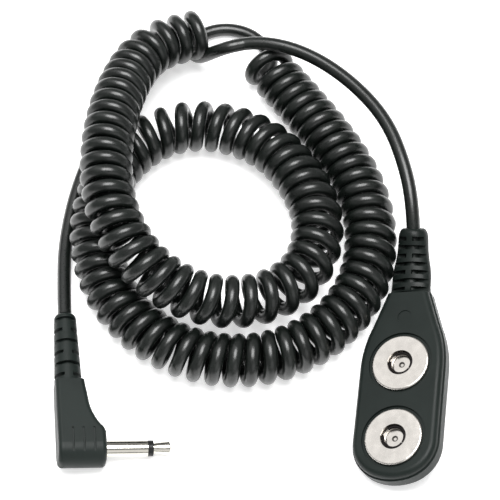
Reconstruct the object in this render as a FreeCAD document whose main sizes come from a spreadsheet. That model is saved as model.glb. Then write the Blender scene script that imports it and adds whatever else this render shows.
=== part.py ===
import FreeCAD, Part
import math
import os

from FreeCAD import Placement, Rotation, Vector

# Grounding cord with a coiled lead: a flat two-socket snap connector, a curly
# two-core cord lying in loops, and a right-angle single-pole plug.
# Millimetres. +Z is up from the table and +Y runs along the snap connector,
# from its nose to its cord. The origin is the bottom centre of the snap
# connector's box, its strain relief included.

DRIVING_SIZES = {
    # snap connector body
    "body_half_width": 9.75,
    "body_nose": 18.0,
    "nose_radius": 12.0,
    "nose_corner_radius": 8.6,
    "body_neck": 26.0,
    "neck_half_width": 5.0,
    "body_height": 5.1,
    "back_height": 3.2,
    "shell_wall": 1.3,
    "back_floor": 1.1,
    "top_round": 1.3,
    "bottom_round": 0.8,
    "parting_step": 0.3,
    "snap_pitch": 17.2,
    "recess_radius": 7.15,
    "recess_depth": 0.6,
    "mark_radius": 1.6,
    "mark_depth": 0.25,
    "mark_place": 19.6,
    "neck_hole_radius": 1.95,
    # snap socket
    "flange_radius": 6.45,
    "flange_height": 0.8,
    "mouth_radius": 2.85,
    "lip_height": 0.3,
    "groove_radius": 3.45,
    "groove_height": 0.6,
    "cup_radius": 2.25,
    "cup_height": 0.5,
    "seat_radius": 2.05,
    "barrel_radius": 3.8,
    "barrel_floor": 0.4,
    "barrel_gap": 0.05,
    # ring spring
    "spring_inner_radius": 2.1,
    "spring_width": 0.65,
    "spring_height": 0.45,
    "spring_gap_angle": 148.0,
    "spring_gap_half": 22.0,
    "spring_heel_half": 2.0,
    # post, terminal and washer behind each socket
    "post_head_radius": 2.0,
    "post_head_height": 0.35,
    "post_shank_radius": 0.9,
    "post_end_radius": 1.5,
    "post_end_height": 0.4,
    "dimple_radius": 0.55,
    "dimple_depth": 0.25,
    "pin_gap": 0.03,
    "terminal_radius": 2.4,
    "terminal_height": 0.3,
    "terminal_tab_width": 1.6,
    "terminal_tab_length": 4.4,
    "washer_radius": 2.0,
    "washer_height": 0.4,
    # resistors and wires in the connector
    "resistor_radius": 0.9,
    "resistor_length": 3.6,
    "resistor_offset": 2.2,
    "resistor_place": 17.6,
    "inner_level": 2.0,
    "lead_radius": 0.25,
    "wire_radius": 0.5,
    # how the connector lies: its right edge is propped up by the cord
    "connector_roll": 22.5,
    "seat_x": 0.76,
    "seat_y": -11.98,
    "seat_z": 3.486,
    # strain relief of the connector
    "relief_length": 15.5,
    "relief_bend": 32.0,
    "relief_lean": 11.0,
    "relief_base_half_width": 4.95,
    "relief_base_half_height": 2.45,
    "relief_tip_radius": 2.95,
    "relief_core_radius": 1.8,
    "relief_side_wall": 0.35,
    "relief_web": 1.6,
    "relief_slot": 0.95,
    "relief_pitch": 2.05,
    "relief_first_slot": 2.4,
    "relief_bridge": 1.3,
    "relief_anchor_radius": 1.9,
    "relief_anchor_length": 1.3,
    "relief_flange_length": 1.2,
    # cord
    "cord_radius": 1.55,
    "coil_radius": 5.85,
    "cord_entry": 0.8,
    # plug
    "plug_x": -68.8,
    "plug_y": -30.9,
    "plug_z": 5.5,
    "plug_yaw": 12.5,
    "plug_pitch": 3.0,
    "plug_roll": 10.4,
    "housing_left": 3.0,
    "housing_face": 7.3,
    "housing_half": 4.0,
    "housing_top": 15.4,
    "housing_top_half": 3.1,
    "housing_round": 1.0,
    "cavity_radius": 3.0,
    "cavity_back": 1.6,
    "channel_radius": 1.9,
    "groove_width": 0.45,
    "groove_depth": 0.5,
    "groove_length": 6.6,
    "groove_step": 2.28,
    "sleeve_radius": 1.75,
    "sleeve_bore": 1.15,
    "sleeve_length": 9.0,
    "sleeve_back": 1.5,
    "sleeve_root_radius": 1.5,
    "sleeve_step": 0.1,
    "sleeve_flange_radius": 2.7,
    "sleeve_flange_place": 5.4,
    "sleeve_flange_height": 0.8,
    "ring_length": 1.2,
    "neck_length": 0.45,
    "tip_length": 3.3,
    "neck_radius": 1.15,
    "tip_small_radius": 1.2,
    "tip_large_radius": 1.5,
    "tip_round": 0.4,
    "rod_radius": 0.55,
    "plug_washer_radius": 2.2,
    "plug_washer_height": 0.6,
    "plug_tab_width": 1.4,
    "plug_tab_height": 0.3,
    "tip_terminal_radius": 2.2,
    "tip_tab_reach": 4.2,
    "sleeve_tab_reach": 2.8,
    "plug_wire_radius": 0.35,
    "plug_relief_length": 16.8,
    "plug_relief_base_radius": 3.0,
    "plug_relief_tip_radius": 2.45,
    "plug_relief_first_slot": 1.7,
    "plug_relief_pitch": 2.76,
    "plug_relief_slot": 0.85,
    "plug_relief_bridge": 1.8,
}

CONNECTOR_SLOTS = 7
PLUG_SLOTS = 6
GRIP_GROOVES = 3

# Route of the cord's middle line, from the connector's strain relief to the
# plug's. The middle of the coil's turns is COIL_ROUTE.
CONNECTOR_TAIL_ROUTE = [
    (-1.7, 32.3, 12.4),
    (-4.2, 41.2, 14.6),
    (-9.5, 53.0, 15.0),
    (-18.5, 62.4, 14.8),
    (-29.0, 68.9, 14.6),
    (-39.2, 71.4, 14.0),
    (-48.2, 70.8, 11.6),
    (-54.7, 69.9, 8.8),
]
COIL_ROUTE = [
    (-55.7, 74.6, 9.2),
    (-62.2, 72.0, 9.5),
    (-67.2, 67.0, 10.8),
    (-70.0, 59.0, 13.1),
    (-71.4, 47.0, 16.9),
    (-71.0, 33.0, 19.0),
    (-67.8, 20.2, 18.9),
    (-60.8, 10.3, 17.0),
    (-51.0, 5.2, 13.6),
    (-40.8, 4.6, 10.8),
    (-30.6, 8.2, 9.2),
    (-23.2, 16.0, 8.4),
    (-21.7, 27.6, 8.4),
    (-26.7, 38.8, 7.9),
    (-36.0, 48.4, 6.8),
    (-48.0, 52.1, 6.1),
    (-58.8, 50.3, 6.1),
    (-67.5, 43.2, 6.1),
    (-72.4, 31.8, 6.1),
    (-72.2, 18.4, 6.1),
    (-66.2, 5.2, 6.1),
    (-55.4, -3.6, 6.1),
    (-43.0, -7.2, 6.1),
    (-29.5, -5.5, 6.1),
    (-18.2, 1.9, 6.1),
    (-10.8, 13.4, 6.1),
    (-9.7, 27.5, 6.1),
    (-14.1, 41.0, 6.1),
    (-22.8, 52.7, 6.1),
    (-31.6, 62.0, 6.1),
    (-39.6, 70.4, 6.1),
]
PLUG_TAIL_ROUTE = [
    (-37.6, 70.8, 1.9),
    (-38.8, 76.4, 1.7),
    (-44.4, 81.6, 1.7),
    (-52.7, 82.0, 1.7),
    (-59.5, 76.4, 1.7),
    (-66.2, 67.5, 1.7),
    (-72.4, 57.6, 1.7),
    (-76.4, 46.6, 1.7),
    (-78.7, 35.1, 1.7),
    (-79.3, 23.6, 1.7),
    (-78.4, 12.8, 2.4),
]

doc = FreeCAD.newDocument("grounding_cord")
sheet = doc.addObject("Spreadsheet::Sheet", "sizes")
for row, (alias, value) in enumerate(DRIVING_SIZES.items(), start=1):
    sheet.set(f"A{row}", alias)
    sheet.set(f"B{row}", str(value))
    sheet.setAlias(f"B{row}", alias)
doc.recompute()
size = {alias: float(getattr(sheet, alias)) for alias in DRIVING_SIZES}

nodes = []


def keep(item, label, place):
    """Names a finished sub-part, sets where it lies and lists it for export."""
    item.Label = label
    item.Placement = place
    nodes.append(item)
    return item


def cylinder(name, radius, height, base=("0", "0", "0"), along="z"):
    """A Part::Cylinder whose sizes and place are expressions of the sheet."""
    item = doc.addObject("Part::Cylinder", name)
    if along == "x":
        item.Placement = Placement(Vector(), Rotation(Vector(0, 1, 0), 90))
    if along == "y":
        item.Placement = Placement(Vector(), Rotation(Vector(1, 0, 0), -90))
    item.setExpression("Radius", radius)
    item.setExpression("Height", height)
    for axis, words in zip("xyz", base):
        item.setExpression(f"Placement.Base.{axis}", words)
    return item


def box(name, lengths, base):
    """A Part::Box whose sizes and low corner are expressions of the sheet."""
    item = doc.addObject("Part::Box", name)
    for side, words in zip(("Length", "Width", "Height"), lengths):
        item.setExpression(side, words)
    for axis, words in zip("xyz", base):
        item.setExpression(f"Placement.Base.{axis}", words)
    return item


def fuse(name, items):
    item = doc.addObject("Part::MultiFuse", name)
    item.Shapes = items
    return item


def cut(name, base, tools):
    """base with the tools taken away."""
    item = doc.addObject("Part::Cut", name)
    item.Base = base
    item.Tool = tools[0] if len(tools) == 1 else fuse(f"{name}_tools", tools)
    return item


def solid(name, shape):
    """A Part::Feature for a swept or lofted shape that no primitive gives."""
    item = doc.addObject("Part::Feature", name)
    item.Shape = shape
    return item


# ---------------------------------------------------------------- body sketch


def body_outline(inset):
    """The connector's outline, seen from above, moved inwards by inset."""
    half = size["body_half_width"]
    nose = -size["body_nose"]
    neck = size["body_neck"]
    waist = size["neck_half_width"]
    nose_radius, corner_radius = size["nose_radius"], size["nose_corner_radius"]
    nose_centre = Vector(0, nose + nose_radius, 0)
    across = half - corner_radius
    back = math.sqrt((nose_radius - corner_radius) ** 2 - across**2)
    corner_centre = nose_centre + Vector(across, -back, 0)
    outwards = (corner_centre - nose_centre).normalize()
    middle = (outwards + Vector(1, 0, 0)).normalize()
    right = [
        Vector(0, nose, 0),
        nose_centre + outwards * nose_radius,
        corner_centre + middle * corner_radius,
        corner_centre + Vector(corner_radius, 0, 0),
        Vector(half, 8.0, 0),
        Vector(0.94 * half, 13.4, 0),
        Vector(0.79 * half, 18.0, 0),
        Vector(1.06 * waist, neck - 1.0, 0),
        Vector(waist, neck, 0),
    ]
    left = [Vector(-p.x, p.y, 0) for p in right]
    edges = [
        Part.Arc(left[1], right[0], right[1]),
        Part.Arc(right[1], right[2], right[3]),
        Part.LineSegment(right[3], right[4]),
        Part.Arc(right[4], right[5], right[6]),
        Part.LineSegment(right[6], right[7]),
        Part.LineSegment(right[7], right[8]),
        Part.LineSegment(right[8], left[8]),
        Part.LineSegment(left[8], left[7]),
        Part.LineSegment(left[7], left[6]),
        Part.Arc(left[6], left[5], left[4]),
        Part.LineSegment(left[4], left[3]),
        Part.Arc(left[3], left[2], left[1]),
    ]
    wire = Part.Wire([edge.toShape() for edge in edges])
    return wire.makeOffset2D(-inset) if inset else wire


def outline_sketch(body, name, wire, height):
    """A sketch on the body's own XY plane, holding wire, at a level of the sheet."""
    sketch = body.newObject("Sketcher::SketchObject", name)
    planes = {item.Role: item for item in body.Origin.OriginFeatures}
    sketch.AttachmentSupport = (planes["XY_Plane"], [""])
    sketch.MapMode = "FlatFace"
    sketch.setExpression("AttachmentOffset.Base.z", height)
    for edge in wire.Edges:
        curve = edge.Curve
        first, last = edge.ParameterRange
        if isinstance(curve, Part.Circle):
            sketch.addGeometry(Part.ArcOfCircle(curve, first, last), False)
        else:
            start, end = edge.valueAt(first), edge.valueAt(last)
            sketch.addGeometry(Part.LineSegment(start, end), False)
    return sketch


def pad(body, name, sketch, length):
    item = body.newObject("PartDesign::Pad", name)
    item.Profile = sketch
    item.setExpression("Length", length)
    return item


def pocket(body, name, sketch, depth):
    item = body.newObject("PartDesign::Pocket", name)
    item.Profile = sketch
    item.setExpression("Length", depth)
    return item


def fillet(body, name, base, radius, choose):
    """Rounds the edges of base that choose picks by their boxes."""
    doc.recompute()
    names = [
        f"Edge{number}"
        for number, edge in enumerate(base.Shape.Edges, start=1)
        if choose(edge.BoundBox)
    ]
    item = body.newObject("PartDesign::Fillet", name)
    item.Base = (base, names)
    item.setExpression("Radius", radius)
    return item


def rim_at(level):
    """Picks the outline's edges at a level, but not the straight end at the neck."""
    end = size["body_neck"] - 1.0
    return lambda b: abs(b.ZMin - level) < 0.01 and abs(b.ZMax - level) < 0.01 and b.YMin < end


# ------------------------------------------------------------ snap connector


def connector_place():
    """Where the connector lies: rolled about its length, left edge down."""
    turn = Rotation(Vector(0, 1, 0), -size["connector_roll"])
    return Placement(Vector(size["seat_x"], size["seat_y"], size["seat_z"]), turn)


def neck_hole(name):
    """The hole through both shells that the strain relief's anchor sits in."""
    return cylinder(
        name,
        "sizes.neck_hole_radius",
        "sizes.shell_wall * 2",
        ("0", "sizes.body_neck - sizes.shell_wall * 1.5", "sizes.body_height / 2"),
        along="y",
    )


def make_back_shell():
    body = doc.addObject("PartDesign::Body", "back_tray")
    outer = outline_sketch(body, "back_outline", body_outline(0), "0")
    block = pad(body, "back_block", outer, "sizes.back_height")
    lower = fillet(body, "back_edge", block, "sizes.bottom_round", rim_at(0))
    inner = outline_sketch(
        body, "back_cavity", body_outline(size["shell_wall"]), "sizes.back_height"
    )
    pocket(body, "back_hollow", inner, "sizes.back_height - sizes.back_floor")
    doc.recompute()
    full, hollow = lower.Shape.Volume, body.Shape.Volume
    print("back shell hollowed from", round(full), "to", round(hollow), "mm3")
    keep(cut("back_neck", body, [neck_hole("back_neck_hole")]), "back_shell", connector_place())


def make_front_shell():
    body = doc.addObject("PartDesign::Body", "front_cover")
    outer = outline_sketch(
        body, "front_outline", body_outline(size["parting_step"]), "sizes.back_height"
    )
    block = pad(body, "front_block", outer, "sizes.body_height - sizes.back_height")
    fillet(body, "front_edge", block, "sizes.top_round", rim_at(size["body_height"]))
    tools = [neck_hole("front_neck_hole")]
    for name, side in (("upper", "1"), ("lower", "-1")):
        middle = f"{side} * sizes.snap_pitch / 2"
        recess_base = ("0", middle, "sizes.body_height - sizes.recess_depth")
        tools.append(
            cylinder(f"{name}_recess", "sizes.recess_radius", "sizes.recess_depth * 2", recess_base)
        )
        hole_base = ("0", middle, "0")
        hole_radius = "sizes.barrel_radius + sizes.barrel_gap"
        tools.append(cylinder(f"{name}_hole", hole_radius, "sizes.body_height", hole_base))
    mark_base = ("0", "sizes.mark_place", "sizes.body_height - sizes.mark_depth")
    tools.append(cylinder("round_mark", "sizes.mark_radius", "sizes.mark_depth * 2", mark_base))
    keep(cut("front_openings", body, tools), "front_shell", connector_place())


def flange_top():
    return "(sizes.body_height - sizes.recess_depth + sizes.flange_height)"


def seat_floor():
    """Floor of the seat that holds the post's head, at the bottom of the cup."""
    depth = "sizes.lip_height - sizes.groove_height - sizes.cup_height - sizes.post_head_height"
    return f"({flange_top()} - {depth})"


def make_socket(name, side):
    """A stamped socket: rolled flange, lipped groove for the spring, cup and seat."""
    middle = f"{side} * sizes.snap_pitch / 2"
    top = flange_top()
    lip = f"{top} - sizes.lip_height"
    groove = f"{lip} - sizes.groove_height"
    cup = f"{groove} - sizes.cup_height"
    floor = seat_floor()
    bottom = f"{floor} - sizes.barrel_floor"
    flange_base = ("0", middle, f"{top} - sizes.flange_height")
    flat_radius = "sizes.flange_radius - sizes.flange_height / 2"
    flange = cylinder(f"{name}_flange", flat_radius, "sizes.flange_height", flange_base)
    roll = doc.addObject("Part::Torus", f"{name}_rolled_edge")
    roll.setExpression("Radius1", flat_radius)
    roll.setExpression("Radius2", "sizes.flange_height / 2")
    roll.setExpression("Placement.Base.y", middle)
    roll.setExpression("Placement.Base.z", f"{top} - sizes.flange_height / 2")
    barrel_height = f"{top} - ({bottom}) - sizes.flange_height / 2"
    barrel = cylinder(
        f"{name}_barrel", "sizes.barrel_radius", barrel_height, ("0", middle, bottom)
    )
    tools = [
        cylinder(f"{name}_mouth", "sizes.mouth_radius", "sizes.lip_height * 2", ("0", middle, lip)),
        cylinder(
            f"{name}_groove", "sizes.groove_radius", "sizes.groove_height", ("0", middle, groove)
        ),
        cylinder(f"{name}_cup", "sizes.cup_radius", "sizes.cup_height", ("0", middle, cup)),
        cylinder(
            f"{name}_seat", "sizes.seat_radius", "sizes.post_head_height", ("0", middle, floor)
        ),
        cylinder(
            f"{name}_rivet_hole",
            "sizes.post_shank_radius + sizes.pin_gap",
            "sizes.barrel_floor * 2",
            ("0", middle, bottom),
        ),
    ]
    whole = fuse(f"{name}_stamping", [flange, roll, barrel])
    keep(cut(f"{name}_socket_cut", whole, tools), f"{name}_socket", connector_place())


def socket_levels():
    """Heights, above the connector's back, of the groove, seat floor and barrel bottom."""
    top = size["body_height"] - size["recess_depth"] + size["flange_height"]
    groove = top - size["lip_height"] - size["groove_height"]
    floor = groove - size["cup_height"] - size["post_head_height"]
    return groove, floor, floor - size["barrel_floor"]


def spring_arm(start, end, middle):
    """One arm of a ring spring: flat oval wire swept round from start to end."""
    inner = size["spring_inner_radius"]
    outer = inner + size["spring_width"]
    half = size["spring_height"] / 2
    groove = socket_levels()[0]
    level = groove + size["groove_height"] / 2
    left, right = inner + half, outer - half
    edges = [
        Part.LineSegment(Vector(left, 0, level - half), Vector(right, 0, level - half)),
        Part.Arc(
            Vector(right, 0, level - half), Vector(outer, 0, level), Vector(right, 0, level + half)
        ),
        Part.LineSegment(Vector(right, 0, level + half), Vector(left, 0, level + half)),
        Part.Arc(
            Vector(left, 0, level + half), Vector(inner, 0, level), Vector(left, 0, level - half)
        ),
    ]
    section = Part.Face(Part.Wire([edge.toShape() for edge in edges]))
    section.rotate(Vector(), Vector(0, 0, 1), start)
    section.translate(Vector(0, middle, 0))
    return section.revolve(Vector(0, middle, 0), Vector(0, 0, 1), end - start)


def make_springs(name, middle):
    """The two arms of a ring spring, open at the gap and bending at the heel."""
    gap = size["spring_gap_angle"]
    heel = gap - 180
    left = spring_arm(gap + size["spring_gap_half"], heel + 360 - size["spring_heel_half"], middle)
    right = spring_arm(heel + size["spring_heel_half"], gap - size["spring_gap_half"], middle)
    keep(solid(f"{name}_left_arm", left), f"{name}_spring_left", connector_place())
    keep(solid(f"{name}_right_arm", right), f"{name}_spring_right", connector_place())
    turn = math.radians(heel)
    reach = size["spring_inner_radius"] + size["spring_width"] / 2
    heel_point = Vector(reach * math.cos(turn), middle + reach * math.sin(turn), 0)
    print(name, "spring heel", connector_place().multVec(heel_point))


def make_post(name, side):
    """The rivet through a socket's floor: dimpled head, shank and peened end."""
    middle = f"{side} * sizes.snap_pitch / 2"
    floor = seat_floor()
    lowest = (
        f"{floor} - sizes.barrel_floor - sizes.terminal_height"
        " - sizes.washer_height - sizes.post_end_height"
    )
    head = cylinder(
        f"{name}_post_head", "sizes.post_head_radius", "sizes.post_head_height", ("0", middle, floor)
    )
    shank = cylinder(
        f"{name}_post_shank",
        "sizes.post_shank_radius",
        f"{floor} - ({lowest}) + sizes.post_head_height / 2",
        ("0", middle, lowest),
    )
    end = cylinder(
        f"{name}_post_end", "sizes.post_end_radius", "sizes.post_end_height", ("0", middle, lowest)
    )
    dimple_base = ("0", middle, f"{floor} + sizes.post_head_height - sizes.dimple_depth")
    dimple = cylinder(
        f"{name}_dimple", "sizes.dimple_radius", "sizes.dimple_depth * 2", dimple_base
    )
    whole = fuse(f"{name}_post_blank", [head, shank, end])
    keep(cut(f"{name}_post_cut", whole, [dimple]), f"{name}_post", connector_place())


def make_terminal(name, side, tab_base):
    """A ring terminal clamped under the socket, with a tab for the wire."""
    middle = f"{side} * sizes.snap_pitch / 2"
    bottom = f"{seat_floor()} - sizes.barrel_floor - sizes.terminal_height"
    ring = cylinder(
        f"{name}_ring", "sizes.terminal_radius", "sizes.terminal_height", ("0", middle, bottom)
    )
    lengths = (
        "sizes.terminal_tab_width",
        "sizes.terminal_tab_length",
        "sizes.terminal_height",
    )
    tab = box(f"{name}_tab", lengths, (tab_base, middle, bottom))
    eye = cylinder(
        f"{name}_eye",
        "sizes.post_shank_radius + sizes.pin_gap",
        "sizes.terminal_height * 3",
        ("0", middle, f"{bottom} - sizes.terminal_height"),
    )
    blank = fuse(f"{name}_terminal_blank", [ring, tab])
    keep(cut(f"{name}_terminal_cut", blank, [eye]), f"{name}_terminal", connector_place())
    washer_bottom = f"{bottom} - sizes.washer_height"
    disc = cylinder(
        f"{name}_disc", "sizes.washer_radius", "sizes.washer_height", ("0", middle, washer_bottom)
    )
    hole = cylinder(
        f"{name}_washer_hole",
        "sizes.post_shank_radius + sizes.pin_gap",
        "sizes.washer_height * 3",
        ("0", middle, f"{washer_bottom} - sizes.washer_height"),
    )
    keep(cut(f"{name}_washer_cut", disc, [hole]), f"{name}_washer", connector_place())


def tube(points, radius):
    """A round tube along straight runs joined by tangent arcs, and the arcs' radii."""
    corners = [Vector(*p) for p in points]
    edges, radii, here = [], [], corners[0]
    for before, corner, after in zip(corners, corners[1:], corners[2:]):
        back, ahead = before - corner, after - corner
        reach = 0.45 * min(back.Length, ahead.Length)
        half_turn = (math.pi - back.getAngle(ahead)) / 2
        arc_radius = reach / math.tan(half_turn)
        back.normalize()
        ahead.normalize()
        start, end = corner + back * reach, corner + ahead * reach
        inwards = (back + ahead).normalize()
        drop = arc_radius / math.cos(half_turn) - arc_radius
        edges.append(Part.LineSegment(here, start).toShape())
        edges.append(Part.Arc(start, corner + inwards * drop, end).toShape())
        radii.append(round(arc_radius, 1))
        here = end
    edges.append(Part.LineSegment(here, corners[-1]).toShape())
    spine = Part.Wire(edges)
    section = Part.Wire([Part.Circle(corners[0], corners[1] - corners[0], radius).toShape()])
    swept = spine.makePipeShell([section], True, True)
    expected = math.pi * radius**2 * spine.Length
    return swept, radii, spine.Length, swept.Volume / expected


def wire(label, points, radius, place):
    """A short insulated wire or lead."""
    shape, radii, length, share = tube(points, radius)
    print(label, "length", round(length, 1), "radii", radii, "volume share", round(share, 3))
    return keep(solid(f"{label}_sweep", shape), label, place)


def make_resistor(name, x_place, near_lead):
    """An axial resistor with its two bent leads."""
    level = size["inner_level"]
    middle = size["resistor_place"]
    half = size["resistor_length"] / 2
    body = Part.makeCylinder(
        size["resistor_radius"],
        size["resistor_length"],
        Vector(x_place, middle - half, level),
        Vector(0, 1, 0),
    )
    body = body.makeFillet(0.3, [edge for edge in body.Edges if edge.Closed])
    lead_to_cord = Part.makeCylinder(
        size["lead_radius"], 1.2, Vector(x_place, middle + half - 0.1, level), Vector(0, 1, 0)
    )
    lead_to_snap = tube(near_lead, size["lead_radius"])[0]
    whole = body.fuse([lead_to_cord, lead_to_snap])
    keep(solid(f"{name}_resistor_form", whole), f"{name}_resistor", connector_place())


def make_connector_wiring():
    """Resistors, link wire and core ends, soldered to the terminals' undersides."""
    level = size["inner_level"]
    solder = socket_levels()[2] - size["terminal_height"] + 0.07
    lead_level = solder - size["lead_radius"]
    link_level = solder - size["wire_radius"]
    offset = size["resistor_offset"]
    rear = size["resistor_place"] + size["resistor_length"] / 2 + 1.1
    front = size["resistor_place"] - size["resistor_length"] / 2
    upper_lead = [
        (offset, front + 0.1, level),
        (offset, front - 1.4, level),
        (1.0, 12.4, lead_level),
    ]
    make_resistor("upper", offset, upper_lead)
    lower_lead = [(-offset, front + 0.1, level), (-offset, front - 1.2, level), (-3.4, 13.4, level)]
    make_resistor("lower", -offset, lower_lead)
    link = [
        (-3.4, 13.4, level),
        (-5.2, 11.0, level),
        (-5.6, 4.0, level),
        (-5.3, -1.2, level),
        (-3.0, -4.4, 0.5 * (level + link_level)),
        (-1.4, -4.9, link_level),
    ]
    wire("lower_link_wire", link, size["wire_radius"], connector_place())
    anchor_end = size["body_neck"] - size["shell_wall"] - size["relief_flange_length"]
    middle = size["body_height"] / 2
    for name, sign in (("upper", 1), ("lower", -1)):
        points = [
            (sign * 0.7, anchor_end, middle),
            (sign * 0.9, anchor_end - 1.2, middle - 0.1),
            (sign * offset, rear + 0.9, level + 0.1),
            (sign * offset, rear, level),
        ]
        wire(f"{name}_conductor", points, size["wire_radius"], connector_place())


# --------------------------------------------------------------- strain relief


def relief_axis_place(along):
    """Frame on the connector relief's bent axis: its Y leads on along the axis."""
    length = size["relief_length"]
    turn = math.radians(size["relief_bend"]) * max(along, 0) / length
    bend_radius = length / math.radians(size["relief_bend"])
    rise = bend_radius * (1 - math.cos(turn))
    run = bend_radius * math.sin(turn) + min(along, 0)
    lean = Rotation(Vector(0, 1, 0), size["relief_lean"])
    step = lean.multVec(Vector(0, run, rise))
    base = Vector(0, size["body_neck"], size["body_height"] / 2) + step
    pitch = Rotation(lean.multVec(Vector(1, 0, 0)), math.degrees(turn))
    return Placement(base, pitch)


def relief_section(along, half_width, half_height):
    """An upright oval across the relief's axis."""
    place = relief_axis_place(along)
    if abs(half_width - half_height) < 0.01:
        half_width = half_height + 0.01
    oval = Part.Ellipse(Vector(), half_width, half_height)
    shape = Part.Wire([oval.toShape()])
    shape.Placement = place.multiply(Placement(Vector(), Rotation(Vector(1, 0, 0), 90)))
    return shape


def slot_cutter(place, slot, bridge, core, bridge_upright, side_reach=7.0, reach=7.0):
    """A slab across the axis that leaves the core and two opposite bridges."""
    corner = Vector(-side_reach, -slot / 2, -reach)
    slab = Part.makeBox(2 * side_reach, slot, 2 * reach, corner)
    middle = Part.makeCylinder(core, 3 * slot, Vector(0, -1.5 * slot, 0), Vector(0, 1, 0))
    if bridge_upright:
        web = Part.makeBox(bridge, 3 * slot, 2 * reach, Vector(-bridge / 2, -1.5 * slot, -reach))
    else:
        web = Part.makeBox(2 * reach, 3 * slot, bridge, Vector(-reach, -1.5 * slot, -bridge / 2))
    cutter = slab.cut(middle.fuse(web))
    cutter.Placement = place
    return cutter


def make_connector_relief():
    length = size["relief_length"]
    base_width, base_height = size["relief_base_half_width"], size["relief_base_half_height"]
    tip = size["relief_tip_radius"]
    sections = []
    for share in (0.0, 0.25, 0.5, 0.75, 0.95):
        half_width = base_width + (tip - base_width) * share
        half_height = base_height + (tip - base_height) * share
        sections.append(relief_section(share * length, half_width, half_height))
    sections.append(relief_section(length, 0.8 * tip, 0.8 * tip))
    whole = Part.makeLoft(sections, True)
    for number in range(CONNECTOR_SLOTS):
        along = length - size["relief_first_slot"] - number * size["relief_pitch"]
        half_width = base_width + (tip - base_width) * along / length
        place = relief_axis_place(along)
        cutter = slot_cutter(
            place,
            size["relief_slot"],
            size["relief_bridge"],
            size["relief_core_radius"],
            number % 2 == 0,
            half_width - size["relief_side_wall"],
        )
        web = size["relief_web"]
        floor = Part.makeBox(14.0, 3.0, web, Vector(-7.0, -1.5, -web / 2))
        floor.Placement = place
        whole = whole.cut(cutter.cut(floor))
    neck, flange = size["relief_anchor_length"], size["relief_flange_length"]
    middle = Vector(0, size["body_neck"] - neck, size["body_height"] / 2)
    anchor = Part.makeCylinder(size["relief_anchor_radius"], neck + 0.2, middle, Vector(0, 1, 0))
    flange_corner = Vector(-3.2, size["body_neck"] - neck - flange, size["back_floor"] + 0.05)
    flange_height = size["back_height"] - size["back_floor"] - 0.1
    block = Part.makeBox(6.4, flange, flange_height, flange_corner)
    whole = whole.fuse([anchor, block]).removeSplitter()
    keep(solid("connector_relief_form", whole), "connector_strain_relief", connector_place())


def relief_tip():
    """The point and direction in which the cord leaves the connector's relief."""
    place = connector_place().multiply(relief_axis_place(size["relief_length"]))
    return place.Base, place.Rotation.multVec(Vector(0, 1, 0))


# ------------------------------------------------------------------------ plug


def plug_place():
    """Where the plug lies: on its tip and the housing's right lower edge."""
    turn = Rotation(Vector(0, 0, 1), size["plug_yaw"])
    turn = turn.multiply(Rotation(Vector(1, 0, 0), -size["plug_pitch"]))
    turn = turn.multiply(Rotation(Vector(0, 1, 0), size["plug_roll"]))
    return Placement(Vector(size["plug_x"], size["plug_y"], size["plug_z"]), turn)


def housing_plan():
    """The housing seen from above: an arm to the cord and a nose at the barrel."""
    left, face, half, top = (
        -size["housing_left"],
        size["housing_face"],
        size["housing_half"],
        size["housing_top"],
    )
    corner = 1.2
    edges = [
        Part.LineSegment(Vector(left, top, 0), Vector(left, corner - half, 0)),
        Part.Arc(
            Vector(left, corner - half, 0),
            Vector(left + 0.3 * corner, 0.3 * corner - half, 0),
            Vector(left + corner, -half, 0),
        ),
        Part.LineSegment(Vector(left + corner, -half, 0), Vector(face - corner, -half, 0)),
        Part.Arc(
            Vector(face - corner, -half, 0),
            Vector(face - 0.3 * corner, 0.3 * corner - half, 0),
            Vector(face, corner - half, 0),
        ),
        Part.LineSegment(Vector(face, corner - half, 0), Vector(face, 2.6, 0)),
        Part.Arc(Vector(face, 2.6, 0), Vector(face - 0.3, 3.6, 0), Vector(face - 1.0, 4.5, 0)),
        Part.Arc(Vector(face - 1.0, 4.5, 0), Vector(4.8, 7.2, 0), Vector(3.9, 11.0, 0)),
        Part.LineSegment(Vector(3.9, 11.0, 0), Vector(3.3, top, 0)),
        Part.LineSegment(Vector(3.3, top, 0), Vector(left, top, 0)),
    ]
    return Part.Face(Part.Wire([edge.toShape() for edge in edges]))


def housing_side():
    """The housing seen along the barrel: round below, tapering to the cord."""
    half, top, top_half = size["housing_half"], size["housing_top"], size["housing_top_half"]
    edges = [
        Part.Arc(Vector(0, 0, half), Vector(0, -half, 0), Vector(0, 0, -half)),
        Part.LineSegment(Vector(0, 0, -half), Vector(0, top, -top_half)),
        Part.LineSegment(Vector(0, top, -top_half), Vector(0, top, top_half)),
        Part.LineSegment(Vector(0, top, top_half), Vector(0, 0, half)),
    ]
    return Part.Face(Part.Wire([edge.toShape() for edge in edges]))


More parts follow.
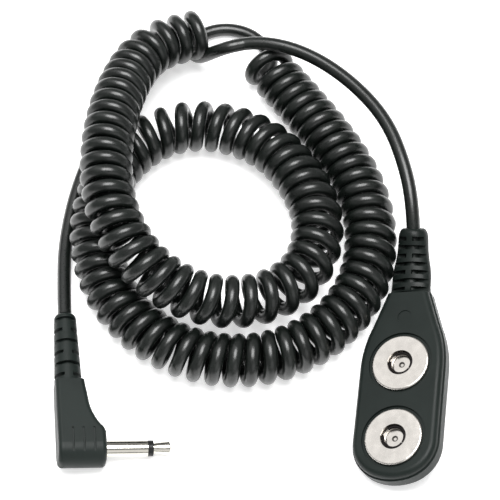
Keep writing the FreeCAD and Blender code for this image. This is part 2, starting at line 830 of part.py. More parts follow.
def make_housing():
    """The moulded housing, hollow about the barrel and along the arm."""
    face, half = size["housing_face"], size["housing_half"]
    plan = housing_plan().extrude(Vector(0, 0, 4 * half))
    plan.translate(Vector(0, 0, -2 * half))
    side = housing_side().extrude(Vector(4 * face, 0, 0))
    side.translate(Vector(-2 * face, 0, 0))
    block = plan.common(side)
    soft = [edge for edge in block.Edges if edge.BoundBox.YMin < size["housing_top"] - 0.01]
    block = block.makeFillet(size["housing_round"], soft)
    hollow = Part.makeCylinder(
        size["cavity_radius"],
        face - 1.0 + size["cavity_back"],
        Vector(-size["cavity_back"], 0, 0),
        Vector(1, 0, 0),
    )
    channel = Part.makeCylinder(
        size["channel_radius"], size["housing_top"] + 1, Vector(0, 0, 0), Vector(0, 1, 0)
    )
    barrel_hole = Part.makeCylinder(
        size["sleeve_radius"] + 0.02, 4, Vector(face - 2, 0, 0), Vector(1, 0, 0)
    )
    block = block.cut(hollow.fuse([channel, barrel_hole]))
    width, depth, length = size["groove_width"], size["groove_depth"], size["groove_length"]
    for number in range(GRIP_GROOVES):
        for level in (half - depth, -half - depth):
            corner = Vector(number * size["groove_step"] - width / 2 + 0.15, -0.46 * length, level)
            block = block.cut(Part.makeBox(width, length, 2 * depth, corner))
    keep(solid("plug_housing_form", block), "plug_housing", plug_place())


def make_plug_relief():
    """The straight tapered relief, with its collar, slots and plain root."""
    length, base = size["plug_relief_length"], size["plug_relief_base_radius"]
    tip, start = size["plug_relief_tip_radius"], size["housing_top"]
    shoulder = start + length - 1.0
    core = size["relief_core_radius"] - 0.05
    root = start - 2.0
    edges = [
        Part.LineSegment(Vector(0, root, 0), Vector(core, root, 0)),
        Part.LineSegment(Vector(core, root, 0), Vector(core, start, 0)),
        Part.LineSegment(Vector(core, start, 0), Vector(base, start, 0)),
        Part.LineSegment(Vector(base, start, 0), Vector(tip, shoulder, 0)),
        Part.Arc(
            Vector(tip, shoulder, 0),
            Vector(tip - 0.25, shoulder + 0.7, 0),
            Vector(tip - 0.9, start + length, 0),
        ),
        Part.LineSegment(Vector(tip - 0.9, start + length, 0), Vector(0, start + length, 0)),
        Part.LineSegment(Vector(0, start + length, 0), Vector(0, root, 0)),
    ]
    profile = Part.Face(Part.Wire([edge.toShape() for edge in edges]))
    whole = profile.revolve(Vector(), Vector(0, 1, 0), 360)
    for number in range(PLUG_SLOTS):
        along = start + length - size["plug_relief_first_slot"] - number * size["plug_relief_pitch"]
        cutter = slot_cutter(
            Placement(Vector(0, along, 0), Rotation()),
            size["plug_relief_slot"],
            size["plug_relief_bridge"],
            core,
            number % 2 == 1,
        )
        whole = whole.cut(cutter)
    keep(solid("plug_relief_form", whole), "plug_strain_relief", plug_place())


def make_jack():
    """Sleeve, insulator and tip of the plug's barrel, with their inner ends."""
    face = "sizes.housing_face"
    sleeve_end = f"{face} + sizes.sleeve_length"
    barrel = cylinder(
        "sleeve_barrel",
        "sizes.sleeve_radius",
        "sizes.sleeve_length + sizes.sleeve_step",
        (f"{face} - sizes.sleeve_step", "0", "0"),
        along="x",
    )
    root = cylinder(
        "sleeve_root",
        "sizes.sleeve_root_radius",
        f"{face} - sizes.sleeve_back",
        ("sizes.sleeve_back", "0", "0"),
        along="x",
    )
    flange = cylinder(
        "sleeve_flange",
        "sizes.sleeve_flange_radius",
        "sizes.sleeve_flange_height",
        ("sizes.sleeve_flange_place", "0", "0"),
        along="x",
    )
    bore = cylinder(
        "sleeve_bore_tool", "sizes.sleeve_bore", f"{sleeve_end} + 1", ("0", "0", "0"), along="x"
    )
    blank = fuse("sleeve_blank", [barrel, root, flange])
    keep(cut("sleeve_cut", blank, [bore]), "plug_sleeve", plug_place())

    liner = cylinder(
        "liner",
        "sizes.sleeve_bore - sizes.pin_gap",
        f"{sleeve_end} - sizes.sleeve_back",
        ("sizes.sleeve_back", "0", "0"),
        along="x",
    )
    ring = cylinder(
        "liner_ring", "sizes.sleeve_radius", "sizes.ring_length", (sleeve_end, "0", "0"), along="x"
    )
    rod_way = cylinder(
        "liner_bore",
        "sizes.rod_radius + sizes.pin_gap",
        f"{sleeve_end} + sizes.ring_length + 1",
        ("0", "0", "0"),
        along="x",
    )
    liner_blank = fuse("liner_blank", [liner, ring])
    keep(cut("liner_cut", liner_blank, [rod_way]), "plug_insulator", plug_place())

    washer = cylinder(
        "rear_washer_disc",
        "sizes.plug_washer_radius",
        "sizes.plug_washer_height",
        ("sizes.sleeve_back - sizes.plug_washer_height", "0", "0"),
        along="x",
    )
    washer_hole = cylinder(
        "rear_washer_hole", "sizes.rod_radius + sizes.pin_gap", "3", ("0", "0", "0"), along="x"
    )
    keep(cut("rear_washer_cut", washer, [washer_hole]), "plug_rear_insulator", plug_place())


def make_plug_tip():
    """The tip contact, turned in one piece with the rod that runs to the rear."""
    neck_start = size["housing_face"] + size["sleeve_length"] + size["ring_length"]
    tip_start = neck_start + size["neck_length"]
    tip_end = tip_start + size["tip_length"]
    rear = size["sleeve_back"] - size["plug_washer_height"] - size["plug_tab_height"]
    rod, neck = size["rod_radius"], size["neck_radius"]
    small, large, soft = size["tip_small_radius"], size["tip_large_radius"], size["tip_round"]
    edges = [
        Part.LineSegment(Vector(rear - 0.5, 0, 0), Vector(rear - 0.5, 1.7 * rod, 0)),
        Part.LineSegment(Vector(rear - 0.5, 1.7 * rod, 0), Vector(rear, 1.7 * rod, 0)),
        Part.LineSegment(Vector(rear, 1.7 * rod, 0), Vector(rear, rod, 0)),
        Part.LineSegment(Vector(rear, rod, 0), Vector(neck_start, rod, 0)),
        Part.LineSegment(Vector(neck_start, rod, 0), Vector(neck_start, neck, 0)),
        Part.LineSegment(Vector(neck_start, neck, 0), Vector(tip_start, neck, 0)),
        Part.LineSegment(Vector(tip_start, neck, 0), Vector(tip_start, small, 0)),
        Part.LineSegment(Vector(tip_start, small, 0), Vector(tip_end - soft, large, 0)),
        Part.Arc(
            Vector(tip_end - soft, large, 0),
            Vector(tip_end - 0.3 * soft, large - 0.3 * soft, 0),
            Vector(tip_end, large - soft, 0),
        ),
        Part.LineSegment(Vector(tip_end, large - soft, 0), Vector(tip_end, 0, 0)),
        Part.LineSegment(Vector(tip_end, 0, 0), Vector(rear - 0.5, 0, 0)),
    ]
    profile = Part.Face(Part.Wire([edge.toShape() for edge in edges]))
    keep(
        solid("plug_tip_form", profile.revolve(Vector(), Vector(1, 0, 0), 360)),
        "plug_tip",
        plug_place(),
    )


def make_plug_terminal(label, place_x, hole_radius, ring_radius, reach):
    """A ring terminal on the plug's barrel, with a tab towards the cord."""
    thick, tab = size["plug_tab_height"], size["plug_tab_width"]
    ring = Part.makeCylinder(ring_radius, thick, Vector(place_x, 0, 0), Vector(1, 0, 0))
    strip = Part.makeBox(thick, reach, tab, Vector(place_x, 0, -tab / 2))
    hole = Part.makeCylinder(hole_radius, 3 * thick, Vector(place_x - thick, 0, 0), Vector(1, 0, 0))
    shape = ring.fuse(strip).cut(hole).removeSplitter()
    keep(solid(f"{label}_form", shape), label, plug_place())


def make_plug_wiring():
    """The two terminals in the housing and the conductors that reach them."""
    thick, gap = size["plug_tab_height"], size["pin_gap"]
    radius = size["plug_wire_radius"]
    tip_place = size["sleeve_back"] - size["plug_washer_height"] - thick
    make_plug_terminal(
        "tip_terminal",
        tip_place,
        size["rod_radius"] + gap,
        size["tip_terminal_radius"],
        size["tip_tab_reach"],
    )
    sleeve_place = size["sleeve_flange_place"] - thick
    make_plug_terminal(
        "sleeve_terminal",
        sleeve_place,
        size["sleeve_root_radius"] + gap,
        size["sleeve_flange_radius"],
        size["sleeve_tab_reach"],
    )
    root = size["housing_top"] - 2.0
    to_tip = [
        (-0.6, root, 0.0),
        (-0.6, 8.0, 0.15),
        (tip_place - radius, 4.4, 0.0),
        (tip_place - radius, 2.4, 0.0),
    ]
    wire("tip_conductor", to_tip, radius, plug_place())
    to_sleeve = [
        (0.6, root, 0.0),
        (1.0, 7.0, -0.15),
        (1.5, 2.6, 0.0),
        (3.2, 2.4, 0.0),
        (sleeve_place, 2.4, 0.0),
    ]
    wire("sleeve_conductor", to_sleeve, radius, plug_place())


# ------------------------------------------------------------------------ cord


def make_cord():
    at_rest = Placement()
    tip, heading = relief_tip()
    start = tip - heading * size["cord_entry"]
    route = [tuple(start)] + CONNECTOR_TAIL_ROUTE
    wire("connector_tail", route, size["cord_radius"], at_rest)
    wire("coil", COIL_ROUTE, size["coil_radius"], at_rest)
    plug_end = Vector(
        0, size["housing_top"] + size["plug_relief_length"] - size["cord_entry"], 0
    )
    finish = plug_place().multVec(plug_end)
    wire("plug_tail", PLUG_TAIL_ROUTE + [tuple(finish)], size["cord_radius"], at_rest)
    print("relief tip", tip, "heading", heading, "plug relief end", finish)


# ----------------------------------------------------------------------- build


def make_all():
    make_back_shell()
    make_front_shell()
    for name, side, tab_base in (("upper", "1", "0.2"), ("lower", "-1", "-1.8")):
        make_socket(name, side)
        make_springs(name, float(side) * size["snap_pitch"] / 2)
        make_post(name, side)
        make_terminal(name, side, tab_base)
    make_connector_wiring()
    make_connector_relief()
    make_housing()
    make_plug_relief()
    make_jack()
    make_plug_tip()
    make_plug_wiring()
    make_cord()


def check_all():
    """Stops before any file is written if an object failed or a shape is bad."""
    doc.recompute()
    for item in doc.Objects:
        if "Invalid" in item.State or "Error" in item.State:
            raise RuntimeError(f"{item.Name} failed: {item.State}")
    for item in nodes:
        if item.Shape.isNull() or not item.Shape.isValid():
            raise RuntimeError(f"{item.Label} has no valid shape")


def report_box():
    """Prints the box of the connector alone, whose bottom centre is the origin."""
    loose = ("plug", "coil", "connector_tail", "tip_", "sleeve_")
    own = [item for item in nodes if not item.Label.startswith(loose)]
    whole = Part.makeCompound([item.Shape for item in own]).optimalBoundingBox()
    middle = ((whole.XMin + whole.XMax) / 2, (whole.YMin + whole.YMax) / 2, whole.ZMin)
    print("connector box", whole, "bottom centre", [round(v, 3) for v in middle])


def export_all():
    os.makedirs("parts", exist_ok=True)
    for item in nodes:
        item.Shape.exportStep(f"parts/{item.Label}.step")
        print(item.Label, "solids", len(item.Shape.Solids), "volume", round(item.Shape.Volume, 2))


make_all()
check_all()
report_box()
export_all()
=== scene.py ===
import math

import bpy
from mathutils import Euler, Matrix, Vector, noise


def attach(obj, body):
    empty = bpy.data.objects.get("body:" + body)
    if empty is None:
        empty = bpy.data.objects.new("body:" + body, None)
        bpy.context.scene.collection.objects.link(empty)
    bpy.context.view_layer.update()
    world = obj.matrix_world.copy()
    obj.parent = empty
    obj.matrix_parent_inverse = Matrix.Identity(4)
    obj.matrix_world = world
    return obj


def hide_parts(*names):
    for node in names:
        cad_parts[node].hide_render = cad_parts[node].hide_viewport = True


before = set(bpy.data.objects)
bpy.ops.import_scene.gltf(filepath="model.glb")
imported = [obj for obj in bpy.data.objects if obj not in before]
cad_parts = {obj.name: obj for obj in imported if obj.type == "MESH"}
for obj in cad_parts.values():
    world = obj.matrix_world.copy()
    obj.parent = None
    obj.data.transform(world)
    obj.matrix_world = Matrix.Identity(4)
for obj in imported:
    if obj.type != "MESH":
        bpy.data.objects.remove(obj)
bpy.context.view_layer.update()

# A grounding cord on a pale table: a flat snap connector on the right, a curly
# cord lying in loops, and a right-angle plug on the left. Positions in
# millimetres come from the CAD model and are turned into metres where used.

MM = 0.001
BODY = "connector_and_cord"

# The cord's length is in metres, and its other sizes are in millimetres.
CORD_RADIUS = 1.55
COIL_MIDDLE_RADIUS = 4.45
# Distance from turn to turn where they are closest, on the inside of a bend.
CLOSE_PITCH = 3.13
POINTS_PER_TURN = 24
# Where the turns are pulled apart: share of the coil's length, width, amount.
STRETCHED = [
    (0.0, 0.012, 0.25),
    (0.285, 0.045, 0.16),
    (0.47, 0.03, 0.12),
    (1.0, 0.013, 1.5),
]
# The link between coil and plug lies on the table: its middle stays above this.
LOWEST_MIDDLE = 1.62
LINK_POINTS = 9
LINK_PULL = 1.35
# Steps along the coil's middle line and the tails, and how many of them lie to
# either side of a point where its direction and its bend are taken.
COIL_STEP = 0.05
TAIL_STEP = 0.25
DIRECTION_STEPS = 6
BEND_STEPS = 60
# Every so many points of a tail become control points of the cord.
TAIL_STRIDE = 6
# What the links to the coil replace of each tail.
CONNECTOR_TAIL_TRIM = 9.0
PLUG_TAIL_TRIM = 7.0

CONNECTOR_TAIL_ROUTE = [
    (-0.8, 26.8, 8.8),
    (-1.7, 32.3, 12.4),
    (-4.2, 41.2, 14.6),
    (-9.5, 53.0, 15.0),
    (-18.5, 62.4, 14.8),
    (-29.0, 68.9, 14.6),
    (-39.2, 71.4, 14.0),
    (-48.2, 70.8, 11.6),
    (-54.7, 69.9, 8.8),
]
COIL_ROUTE = [
    (-55.7, 74.6, 9.2),
    (-62.2, 72.0, 9.5),
    (-67.2, 67.0, 10.8),
    (-70.0, 59.0, 13.1),
    (-71.4, 47.0, 16.9),
    (-71.0, 33.0, 19.0),
    (-67.8, 20.2, 18.9),
    (-60.8, 10.3, 17.0),
    (-51.0, 5.2, 13.6),
    (-40.8, 4.6, 10.8),
    (-30.6, 8.2, 9.2),
    (-23.2, 16.0, 8.4),
    (-21.7, 27.6, 8.4),
    (-26.7, 38.8, 7.9),
    (-36.0, 48.4, 6.8),
    (-48.0, 52.1, 6.1),
    (-58.8, 50.3, 6.1),
    (-67.5, 43.2, 6.1),
    (-72.4, 31.8, 6.1),
    (-72.2, 18.4, 6.1),
    (-66.2, 5.2, 6.1),
    (-55.4, -3.6, 6.1),
    (-43.0, -7.2, 6.1),
    (-29.5, -5.5, 6.1),
    (-18.2, 1.9, 6.1),
    (-10.8, 13.4, 6.1),
    (-9.7, 27.5, 6.1),
    (-14.1, 41.0, 6.1),
    (-22.8, 52.7, 6.1),
    (-31.6, 62.0, 6.1),
    (-39.6, 70.4, 6.1),
]
PLUG_TAIL_ROUTE = [
    (-37.6, 70.8, 1.9),
    (-38.8, 76.4, 1.7),
    (-44.4, 81.6, 1.7),
    (-52.7, 82.0, 1.7),
    (-59.5, 76.4, 1.7),
    (-66.2, 67.5, 1.7),
    (-72.4, 57.6, 1.7),
    (-76.4, 46.6, 1.7),
    (-78.7, 35.1, 1.7),
    (-79.3, 23.6, 1.7),
    (-78.4, 12.8, 2.4),
    (-75.6, -0.3, 3.86),
]

# Where the cord passes under the coil's first turn: distances along the coil,
# to its side and up, from the start of its middle line.
HIDDEN_LOOP = [
    (-5.4, 7.6, 3.9),
    (-3.4, 6.9, 2.4),
    (-1.2, 5.9, 0.1),
    (0.4, 4.5, -2.9),
    (1.4, 2.4, -5.6),
    (2.0, -0.6, -7.2),
    (1.4, -3.6, -6.0),
    (0.4, -5.3, -3.0),
]
FIRST_ANGLE = -285.0
# How far the coil runs on past the end of its middle line.
COIL_RUN_ON = 3.0
# How far the last turn stands open. It ends at its lowest point, or nearly.
LAST_TURN_OPEN = 1.5
LAST_TURN_COSINE = -0.98
# How far the first turns lean over along the coil, and the share of it they cover.
FIRST_LEAN = 0.3
LEAN_REACH = 0.06
# Unevenness of the turns: share of the radius, and millimetres of lean to and fro,
# how fast each changes along the turns, and where in the noise it is read.
WOBBLE = 0.012
WOBBLE_RATE = 0.21
WOBBLE_SEED = (3.7, 0.0)
SWAY = 0.22
SWAY_RATE = 0.045
SWAY_SEED = (9.1, 2.0)

# How far apart the snaps are, how far out their painted shade reaches, and the brightness
# of the nickel by the distance from a snap's middle, in millimetres. The dark rings are
# painted shade: round the dimple, in the gap round the post's head, and in the groove
# under the socket's mouth.
SNAP_PITCH = 17.2
SNAP_REACH = 8.0
NICKEL_TINT = (0.86, 0.82, 0.77)
SNAP_PAINTED_SHADES = [
    (0.0, 0.78),
    (0.3, 0.72),
    (0.38, 0.1),
    (0.62, 0.1),
    (0.74, 0.8),
    (1.92, 0.84),
    (1.98, 0.12),
    (2.08, 0.12),
    (2.14, 0.75),
    (2.3, 0.75),
    (2.84, 0.5),
    (2.92, 0.8),
    (5.9, 0.84),
    (6.5, 0.9),
]

# Where the connector and the plug lie, as in the CAD model.
CONNECTOR_SEAT = Vector((0.76, -11.98, 3.486)) * MM
CONNECTOR_TURN = Euler((0.0, math.radians(-22.5), 0.0))
PLUG_SEAT = Vector((-68.8, -30.9, 5.5)) * MM
PLUG_TURN = (
    Matrix.Rotation(math.radians(12.5), 3, "Z")
    @ Matrix.Rotation(math.radians(-3.0), 3, "X")
    @ Matrix.Rotation(math.radians(10.4), 3, "Y")
).to_euler()

# Camera, in millimetres.
CLIP_START = 10.0
LENS = 130.0
SENSOR_WIDTH = 36.0
CAMERA_PLACE = (-14.18, -161.76, 367.09)
CAMERA_TARGET = (-37.30, 23.85, 0.0)

# The middle range of a noise, which its ramps and ranges are spread over.
NOISE_LOW = 0.3
NOISE_HIGH = 0.7
NOISE_ROUGHNESS = 0.55

BEVEL_SEGMENTS = 2
SHARP_ANGLE = 40.0

# Stage and lights, in metres and watts.
FLOOR_REACH = 3.0
FLOOR_GLOW = 0.5
ROOM_BRIGHTNESS = 0.36
LIGHTS_AIM = (-0.037, 0.024, 0.0)
LIGHTS = [
    ("top_softbox", (-0.04, 0.06, 0.62), (0.4, 0.4), 5.6),
    ("left_card", (-0.42, 0.26, 0.46), (0.42, 0.42), 0.42),
    ("front_fill", (0.25, -0.5, 0.35), (0.5, 0.4), 0.5),
]


# ---------------------------------------------------------------------- camera


def make_camera():
    """Looks down at 63 degrees from a little to the right, through a long lens."""
    data = bpy.data.cameras.new("camera")
    data.lens = LENS
    data.sensor_width = SENSOR_WIDTH
    data.clip_start = CLIP_START * MM
    camera = bpy.data.objects.new("camera", data)
    bpy.context.scene.collection.objects.link(camera)
    camera.location = Vector(CAMERA_PLACE) * MM
    target = Vector(CAMERA_TARGET) * MM
    camera.rotation_euler = (target - camera.location).to_track_quat("-Z", "Y").to_euler()
    bpy.context.scene.camera = camera
    bpy.context.scene.view_settings.view_transform = "Standard"


# ------------------------------------------------------------------------ cord


def route_curve(name, points):
    """A smooth NURBS spline with the points of a route as its control points."""
    data = bpy.data.curves.new(name, "CURVE")
    data.dimensions = "3D"
    data.resolution_u = 16
    spline = data.splines.new("NURBS")
    spline.points.add(len(points) - 1)
    for control, place in zip(spline.points, points):
        control.co = (*(Vector(place) * MM), 1.0)
    spline.order_u = 3
    spline.use_endpoint_u = True
    return bpy.data.objects.new(name, data)


def smooth_line(points):
    """The points that a route's bare spline passes through."""
    curve = route_curve("bare_route", points)
    mesh = bpy.data.meshes.new_from_object(curve)
    line = [vertex.co.copy() for vertex in mesh.vertices]
    data = curve.data
    bpy.data.objects.remove(curve)
    bpy.data.curves.remove(data)
    bpy.data.meshes.remove(mesh)
    return line


def even_steps(line, step):
    """The line again, with points a fixed distance apart along it."""
    reach = 0.0
    picked = [line[0].copy()]
    for here, there in zip(line, line[1:]):
        span = (there - here).length
        while span > 0 and reach + span >= step:
            share = (step - reach) / span
            here = here.lerp(there, share)
            picked.append(here.copy())
            span = (there - here).length
            reach = 0.0
        reach += span
    return picked


def trimmed(line, head=0.0, tail=0.0):
    """The line with a length taken off its head and its tail."""
    step = TAIL_STEP * MM
    points = even_steps(line, step)
    first = int(head / step)
    last = len(points) - int(tail / step)
    return points[first:last]


def joined(start, end):
    """A smooth link on the table from the end of one line to the start of the next."""
    here, there = start[-1], end[0]
    gap = (there - here).length * LINK_PULL
    leave = (start[-1] - start[-3]).normalized() * gap
    arrive = (end[2] - end[0]).normalized() * gap
    link = []
    for number in range(1, LINK_POINTS):
        t = number / LINK_POINTS
        link.append(
            here * (2 * t**3 - 3 * t**2 + 1)
            + leave * (t**3 - 2 * t**2 + t)
            + there * (-2 * t**3 + 3 * t**2)
            + arrive * (t**3 - t**2)
        )
        link[-1].z = max(link[-1].z, LOWEST_MIDDLE * MM)
    return link


def bend_of(line, index):
    """How sharply the line bends near one of its points, as one over the radius."""
    low, high = max(index - BEND_STEPS, 0), min(index + BEND_STEPS, len(line) - 1)
    before, after = line[index] - line[low], line[high] - line[index]
    if before.length == 0 or after.length == 0:
        return 0.0
    return before.angle(after) / (0.5 * (before.length + after.length))


def axes_at(line, index):
    """Directions along a line at one of its points, level to its side, and up."""
    ahead = min(index + DIRECTION_STEPS, len(line) - 1)
    behind = max(index - DIRECTION_STEPS, 0)
    along = (line[ahead] - line[behind]).normalized()
    side = Vector((0, 0, 1)).cross(along).normalized()
    return along, side, along.cross(side).normalized()


def stretch_at(share):
    """How far the turns are pulled apart at a share of the coil's length."""
    return 1.0 + sum(
        amount * math.exp(-(((share - middle) / width) ** 2))
        for middle, width, amount in STRETCHED
    )


def turn_point(line, index, turned):
    """The place on the helix beside one point of the middle line, not quite even."""
    along, side, up = axes_at(line, index)
    now = math.radians(FIRST_ANGLE) - turned
    wobble = noise.noise(Vector((turned * WOBBLE_RATE, *WOBBLE_SEED)))
    sway = noise.noise(Vector((turned * SWAY_RATE, *SWAY_SEED)))
    radius = COIL_MIDDLE_RADIUS * MM * (1.0 + WOBBLE * wobble)
    lean_over = FIRST_LEAN * math.exp(-index / (len(line) * LEAN_REACH))
    shift = along * (SWAY * sway * math.cos(now) * MM + lean_over * math.sin(now) * radius)
    return line[index] + (up * math.cos(now) - side * math.sin(now)) * radius + shift


def coil_turns(line, step):
    """The helix about the coil's middle line: turns touch on the inside of each bend."""
    turn_step = 2 * math.pi / POINTS_PER_TURN
    turned = 0.0
    next_point = 0.0
    helix = []
    angles = []
    for index in range(len(line)):
        if turned >= next_point:
            helix.append(turn_point(line, index, turned))
            angles.append(math.radians(FIRST_ANGLE) - turned)
            next_point += turn_step
        stretch = stretch_at(index / (len(line) - 1))
        inside = 1.0 - COIL_MIDDLE_RADIUS * MM * bend_of(line, index)
        turned += 2 * math.pi * step / (CLOSE_PITCH * MM * stretch / inside)
    while math.cos(angles.pop()) > LAST_TURN_COSINE:
        helix.pop()
    along = axes_at(line, len(line) - 1)[0]
    for back in range(1, POINTS_PER_TURN):
        lift = 0.5 - 0.5 * math.cos(back * turn_step)
        helix[-1 - back] += along * LAST_TURN_OPEN * lift * MM
    return helix


def hidden_loop(line):
    """The cord's way under the coil's first turn, from the connector's side."""
    along, side, up = axes_at(line, 0)
    return [line[0] + (along * a + side * s + up * u) * MM for a, s, u in HIDDEN_LOOP]


def cord_path():
    """Control points of the cord, from the connector's relief to the plug's."""
    step = COIL_STEP * MM
    middle_line = even_steps(smooth_line(COIL_ROUTE), step)
    onwards = middle_line[-1] - middle_line[-2]
    extra = int(COIL_RUN_ON * MM / step)
    middle_line += [middle_line[-1] + onwards * number for number in range(1, extra)]
    helix = coil_turns(middle_line, step)
    to_coil = trimmed(smooth_line(CONNECTOR_TAIL_ROUTE), tail=CONNECTOR_TAIL_TRIM * MM)
    from_coil = trimmed(smooth_line(PLUG_TAIL_ROUTE), head=PLUG_TAIL_TRIM * MM)
    to_coil = to_coil[::TAIL_STRIDE]
    from_coil = from_coil[::TAIL_STRIDE]
    return to_coil + hidden_loop(middle_line) + helix + joined(helix, from_coil) + from_coil


def make_cord():
    """The whole two-core cord, as one round curve that stands for three CAD nodes."""
    path = cord_path()
    data = bpy.data.curves.new("cord", "CURVE")
    data.dimensions = "3D"
    data.resolution_u = 3
    data.bevel_depth = CORD_RADIUS * MM
    data.bevel_resolution = 6
    data.use_fill_caps = True
    spline = data.splines.new("NURBS")
    spline.points.add(len(path) - 1)
    for control, place in zip(spline.points, path):
        control.co = (*place, 1.0)
    spline.order_u = 4
    spline.use_endpoint_u = True
    spline.use_smooth = True
    cord = bpy.data.objects.new("cord", data)
    bpy.context.scene.collection.objects.link(cord)
    cord.data.materials.append(cord_material())
    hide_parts("connector_tail", "coil", "plug_tail")
    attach(cord, BODY)


# ------------------------------------------------------------------- materials


class Shader:
    """A material's node tree, with short ways to add and join its nodes."""

    def __init__(self, name):
        self.material = bpy.data.materials.new(name)
        self.material.use_nodes = True
        self.tree = self.material.node_tree
        self.surface = self.tree.nodes["Principled BSDF"]

    def set(self, **values):
        for socket, value in values.items():
            self.surface.inputs[socket.replace("_", " ")].default_value = value

    def node(self, kind, **settings):
        made = self.tree.nodes.new(kind)
        for name, value in settings.items():
            setattr(made, name, value)
        return made

    def link(self, source, target):
        self.tree.links.new(source, target)

    def feed(self, source, socket):
        self.link(source, self.surface.inputs[socket])

    def place(self, seat=None, turn=None):
        """Coordinates in metres, in the row's frame or in a seated piece's own."""
        coordinates = self.node("ShaderNodeTexCoord")
        mapping = self.node("ShaderNodeMapping", vector_type="TEXTURE")
        if seat is not None:
            mapping.inputs["Location"].default_value = seat
            mapping.inputs["Rotation"].default_value = turn
        self.link(coordinates.outputs["Object"], mapping.inputs["Vector"])
        return mapping.outputs["Vector"]

    def noise(self, vector, scale, detail=4.0):
        made = self.node("ShaderNodeTexNoise")
        made.inputs["Scale"].default_value = scale
        made.inputs["Detail"].default_value = detail
        made.inputs["Roughness"].default_value = NOISE_ROUGHNESS
        self.link(vector, made.inputs["Vector"])
        return made.outputs["Fac"]

    def ramp(self, source, low, high):
        """A colour that goes from low to high over the middle range of a noise."""
        made = self.node("ShaderNodeValToRGB")
        made.color_ramp.elements[0].position = NOISE_LOW
        made.color_ramp.elements[1].position = NOISE_HIGH
        made.color_ramp.elements[0].color = low
        made.color_ramp.elements[1].color = high
        self.link(source, made.inputs["Fac"])
        return made.outputs["Color"]

    def range(self, source, low, high):
        """A value that goes from low to high over the middle range of a noise."""
        made = self.node("ShaderNodeMapRange")
        made.inputs["From Min"].default_value = NOISE_LOW
        made.inputs["From Max"].default_value = NOISE_HIGH
        made.inputs["To Min"].default_value = low
        made.inputs["To Max"].default_value = high
        self.link(source, made.inputs["Value"])
        return made.outputs["Result"]

    def math(self, operation, *sources):
        made = self.node("ShaderNodeMath", operation=operation)
        for socket, source in zip(made.inputs, sources):
            if isinstance(source, float):
                socket.default_value = source
            else:
                self.link(source, socket)
        return made.outputs["Value"]

    def bump(self, height, depth, strength, under=None):
        made = self.node("ShaderNodeBump")
        made.inputs["Distance"].default_value = depth
        made.inputs["Strength"].default_value = strength
        self.link(height, made.inputs["Height"])
        if under is not None:
            self.link(under, made.inputs["Normal"])
        return made.outputs["Normal"]


def grey(value, tint=(1.0, 1.0, 1.0)):
    return tuple(value * part for part in tint) + (1.0,)


def cord_material():
    """Glossy near-black flexible PVC, with the faint ripple that extruding leaves."""
    made = Shader("cord_pvc")
    made.set(Coat_Weight=0.15, Coat_Roughness=0.2)
    place = made.place()
    broad = made.noise(place, scale=260.0, detail=3.0)
    fine = made.noise(place, scale=2600.0, detail=5.0)
    darker = grey(0.003, (0.8, 1.15, 0.97))
    lighter = grey(0.007, (0.8, 1.15, 0.94))
    made.feed(made.ramp(broad, darker, lighter), "Base Color")
    made.feed(made.range(fine, 0.25, 0.38), "Roughness")
    ripple = made.bump(broad, depth=0.05 * MM, strength=0.5)
    skin = made.bump(fine, depth=0.006 * MM, strength=0.6, under=ripple)
    made.feed(skin, "Normal")
    return made.material


def moulded_material(name, seat, turn, base, rough, grain=0.012):
    """Moulded plastic with a fine spark-eroded grain and faint rubbed patches."""
    made = Shader(name)
    made.set(Specular_IOR_Level=0.2)
    place = made.place(seat, turn)
    cloud = made.noise(place, scale=140.0, detail=3.0)
    speck = made.noise(place, scale=5200.0, detail=2.0)
    made.feed(made.ramp(cloud, grey(0.9, base), grey(1.12, base)), "Base Color")
    made.feed(made.range(cloud, rough - 0.05, rough + 0.07), "Roughness")
    made.feed(made.bump(speck, depth=grain * MM, strength=0.8), "Normal")
    return made.material


def metal_material(name, seat, turn, base, rough):
    """Plated or tinned metal, a little stained, with fine scratches."""
    made = Shader(name)
    made.set(Metallic=1.0)
    place = made.place(seat, turn)
    stain = made.noise(place, scale=420.0)
    made.feed(made.ramp(stain, grey(0.9, base), grey(1.0, base)), "Base Color")
    made.feed(made.range(stain, rough - 0.04, rough + 0.08), "Roughness")
    scratch = made.noise(place, scale=3000.0, detail=3.0)
    made.feed(made.bump(scratch, depth=0.004 * MM, strength=0.5), "Normal")
    return made.material


def snap_material(seat, turn):
    """Stamped nickel, with painted shade in dark rings by the distance from each snap's middle:
    round the dimple, round the post's head and in the groove under the mouth.
    """
    made = Shader("snap_nickel")
    made.set(Metallic=1.0)
    place = made.place(seat, turn)
    parts = made.node("ShaderNodeSeparateXYZ")
    made.link(place, parts.inputs["Vector"])
    along = made.math("ABSOLUTE", parts.outputs["Y"])
    along = made.math("SUBTRACT", along, 0.5 * SNAP_PITCH * MM)
    across = made.math("MULTIPLY", parts.outputs["X"], parts.outputs["X"])
    along = made.math("MULTIPLY", along, along)
    radius = made.math("SQRT", made.math("ADD", across, along))
    shade = made.node("ShaderNodeValToRGB")
    shade.color_ramp.elements.remove(shade.color_ramp.elements[1])
    shade.color_ramp.elements[0].color = grey(SNAP_PAINTED_SHADES[0][1], NICKEL_TINT)
    for reach, tone in SNAP_PAINTED_SHADES[1:]:
        shade.color_ramp.elements.new(reach / SNAP_REACH).color = grey(tone, NICKEL_TINT)
    made.link(made.math("DIVIDE", radius, SNAP_REACH * MM), shade.inputs["Fac"])
    stain = made.ramp(made.noise(place, scale=420.0), grey(0.86), grey(1.0))
    tint = made.node("ShaderNodeVectorMath", operation="MULTIPLY")
    made.link(shade.outputs["Color"], tint.inputs[0])
    made.link(stain, tint.inputs[1])
    made.feed(tint.outputs["Vector"], "Base Color")
    rubbed = made.noise(place, scale=900.0, detail=5.0)
    made.feed(made.range(rubbed, 0.17, 0.34), "Roughness")
    scratch = made.noise(place, scale=3000.0, detail=3.0)
    scratches = made.bump(scratch, depth=0.004 * MM, strength=0.5)
    wear = made.bump(rubbed, depth=0.012 * MM, strength=0.35, under=scratches)
    made.feed(wear, "Normal")
    return made.material


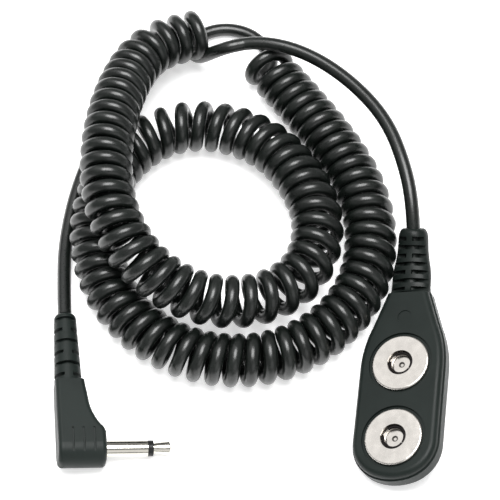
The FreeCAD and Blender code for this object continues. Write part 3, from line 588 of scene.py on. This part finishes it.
def soften(width, *names):
    """Rounds the sharp edges of CAD nodes a little, as moulding and plating do."""
    for name in names:
        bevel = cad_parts[name].modifiers.new("soft_edges", "BEVEL")
        bevel.width = width * MM
        bevel.segments = BEVEL_SEGMENTS
        bevel.limit_method = "ANGLE"
        bevel.angle_limit = math.radians(SHARP_ANGLE)
        bevel.use_clamp_overlap = True
        bevel.harden_normals = True


def give(material, *names):
    """Puts a material on CAD nodes."""
    for name in names:
        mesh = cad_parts[name].data
        mesh.materials.clear()
        mesh.materials.append(material)


def make_materials():
    connector = (CONNECTOR_SEAT, CONNECTOR_TURN)
    plug = (PLUG_SEAT, PLUG_TURN)
    shell = moulded_material(
        "shell_plastic", *connector, base=(0.0095, 0.0138, 0.0122), rough=0.4
    )
    relief = moulded_material(
        "relief_plastic", *connector, base=(0.007, 0.0102, 0.009), rough=0.42
    )
    housing = moulded_material(
        "plug_plastic", *plug, base=(0.0115, 0.0162, 0.0145), rough=0.46, grain=0.02
    )
    snap = snap_material(*connector)
    # The springs' near-black colour is painted shade of the dark groove that they lie in.
    painted_shade_spring = metal_material("spring_steel", *connector, base=(0.02, 0.018, 0.018), rough=0.42)
    nickel = metal_material("plug_nickel", *plug, base=(0.62, 0.6, 0.54), rough=0.11)
    black = moulded_material("insulator_plastic", *plug, base=(0.015, 0.015, 0.015), rough=0.25)
    brass = metal_material("tinned_brass", *connector, base=(0.75, 0.65, 0.4), rough=0.3)
    lacquer = moulded_material(
        "resistor_lacquer", *connector, base=(0.18, 0.42, 0.55), rough=0.25
    )
    sleeve = moulded_material("wire_insulation", *connector, base=(0.5, 0.06, 0.05), rough=0.4)
    give(shell, "front_shell", "back_shell")
    give(relief, "connector_strain_relief")
    give(housing, "plug_housing", "plug_strain_relief")
    for end in ("upper", "lower"):
        give(snap, f"{end}_socket", f"{end}_post", f"{end}_washer")
        give(painted_shade_spring, f"{end}_spring_left", f"{end}_spring_right")
        give(brass, f"{end}_terminal")
        give(lacquer, f"{end}_resistor")
        give(sleeve, f"{end}_conductor")
    give(sleeve, "lower_link_wire")
    give(nickel, "plug_sleeve", "plug_tip")
    give(black, "plug_insulator", "plug_rear_insulator")
    give(brass, "tip_terminal", "sleeve_terminal")
    give(sleeve, "tip_conductor", "sleeve_conductor")
    soften(0.12, "front_shell", "back_shell", "plug_housing")
    soften(0.1, "connector_strain_relief", "plug_strain_relief")
    soften(0.06, "upper_socket", "lower_socket", "upper_post", "lower_post")
    soften(0.08, "plug_sleeve", "plug_tip", "plug_insulator")


# ----------------------------------------------------------------------- stage


def make_floor():
    """A plain white sheet that glows a little, so that it stays white between shadows."""
    mesh = bpy.data.meshes.new("floor")
    reach = FLOOR_REACH
    corners = [(-reach, -reach, 0), (reach, -reach, 0), (reach, reach, 0), (-reach, reach, 0)]
    mesh.from_pydata(corners, [], [(0, 1, 2, 3)])
    floor = bpy.data.objects.new("floor", mesh)
    bpy.context.scene.collection.objects.link(floor)
    made = Shader("floor_paper")
    made.set(Roughness=0.9, Specular_IOR_Level=0.1)
    made.feed(made.ramp(made.noise(made.place(), scale=300.0), grey(0.93), grey(0.95)), "Base Color")
    made.set(Emission_Color=grey(1.0), Emission_Strength=FLOOR_GLOW)
    mesh.materials.append(made.material)


def area_light(name, place, size, power):
    """A rectangular light that looks at the middle of the cord."""
    data = bpy.data.lights.new(name, "AREA")
    data.shape = "RECTANGLE"
    data.size, data.size_y = size
    data.energy = power
    light = bpy.data.objects.new(name, data)
    bpy.context.scene.collection.objects.link(light)
    light.location = place
    aim = Vector(LIGHTS_AIM) - Vector(place)
    light.rotation_euler = aim.to_track_quat("-Z", "Y").to_euler()


def make_lights():
    """A big soft box overhead, a card that the sockets mirror, and a dim room."""
    world = bpy.data.worlds.new("studio")
    world.use_nodes = True
    background = world.node_tree.nodes["Background"]
    background.inputs["Color"].default_value = grey(1.0)
    background.inputs["Strength"].default_value = ROOM_BRIGHTNESS
    bpy.context.scene.world = world
    for name, place, size, power in LIGHTS:
        area_light(name, place, size, power)


make_camera()
make_cord()
make_materials()
make_floor()
make_lights()
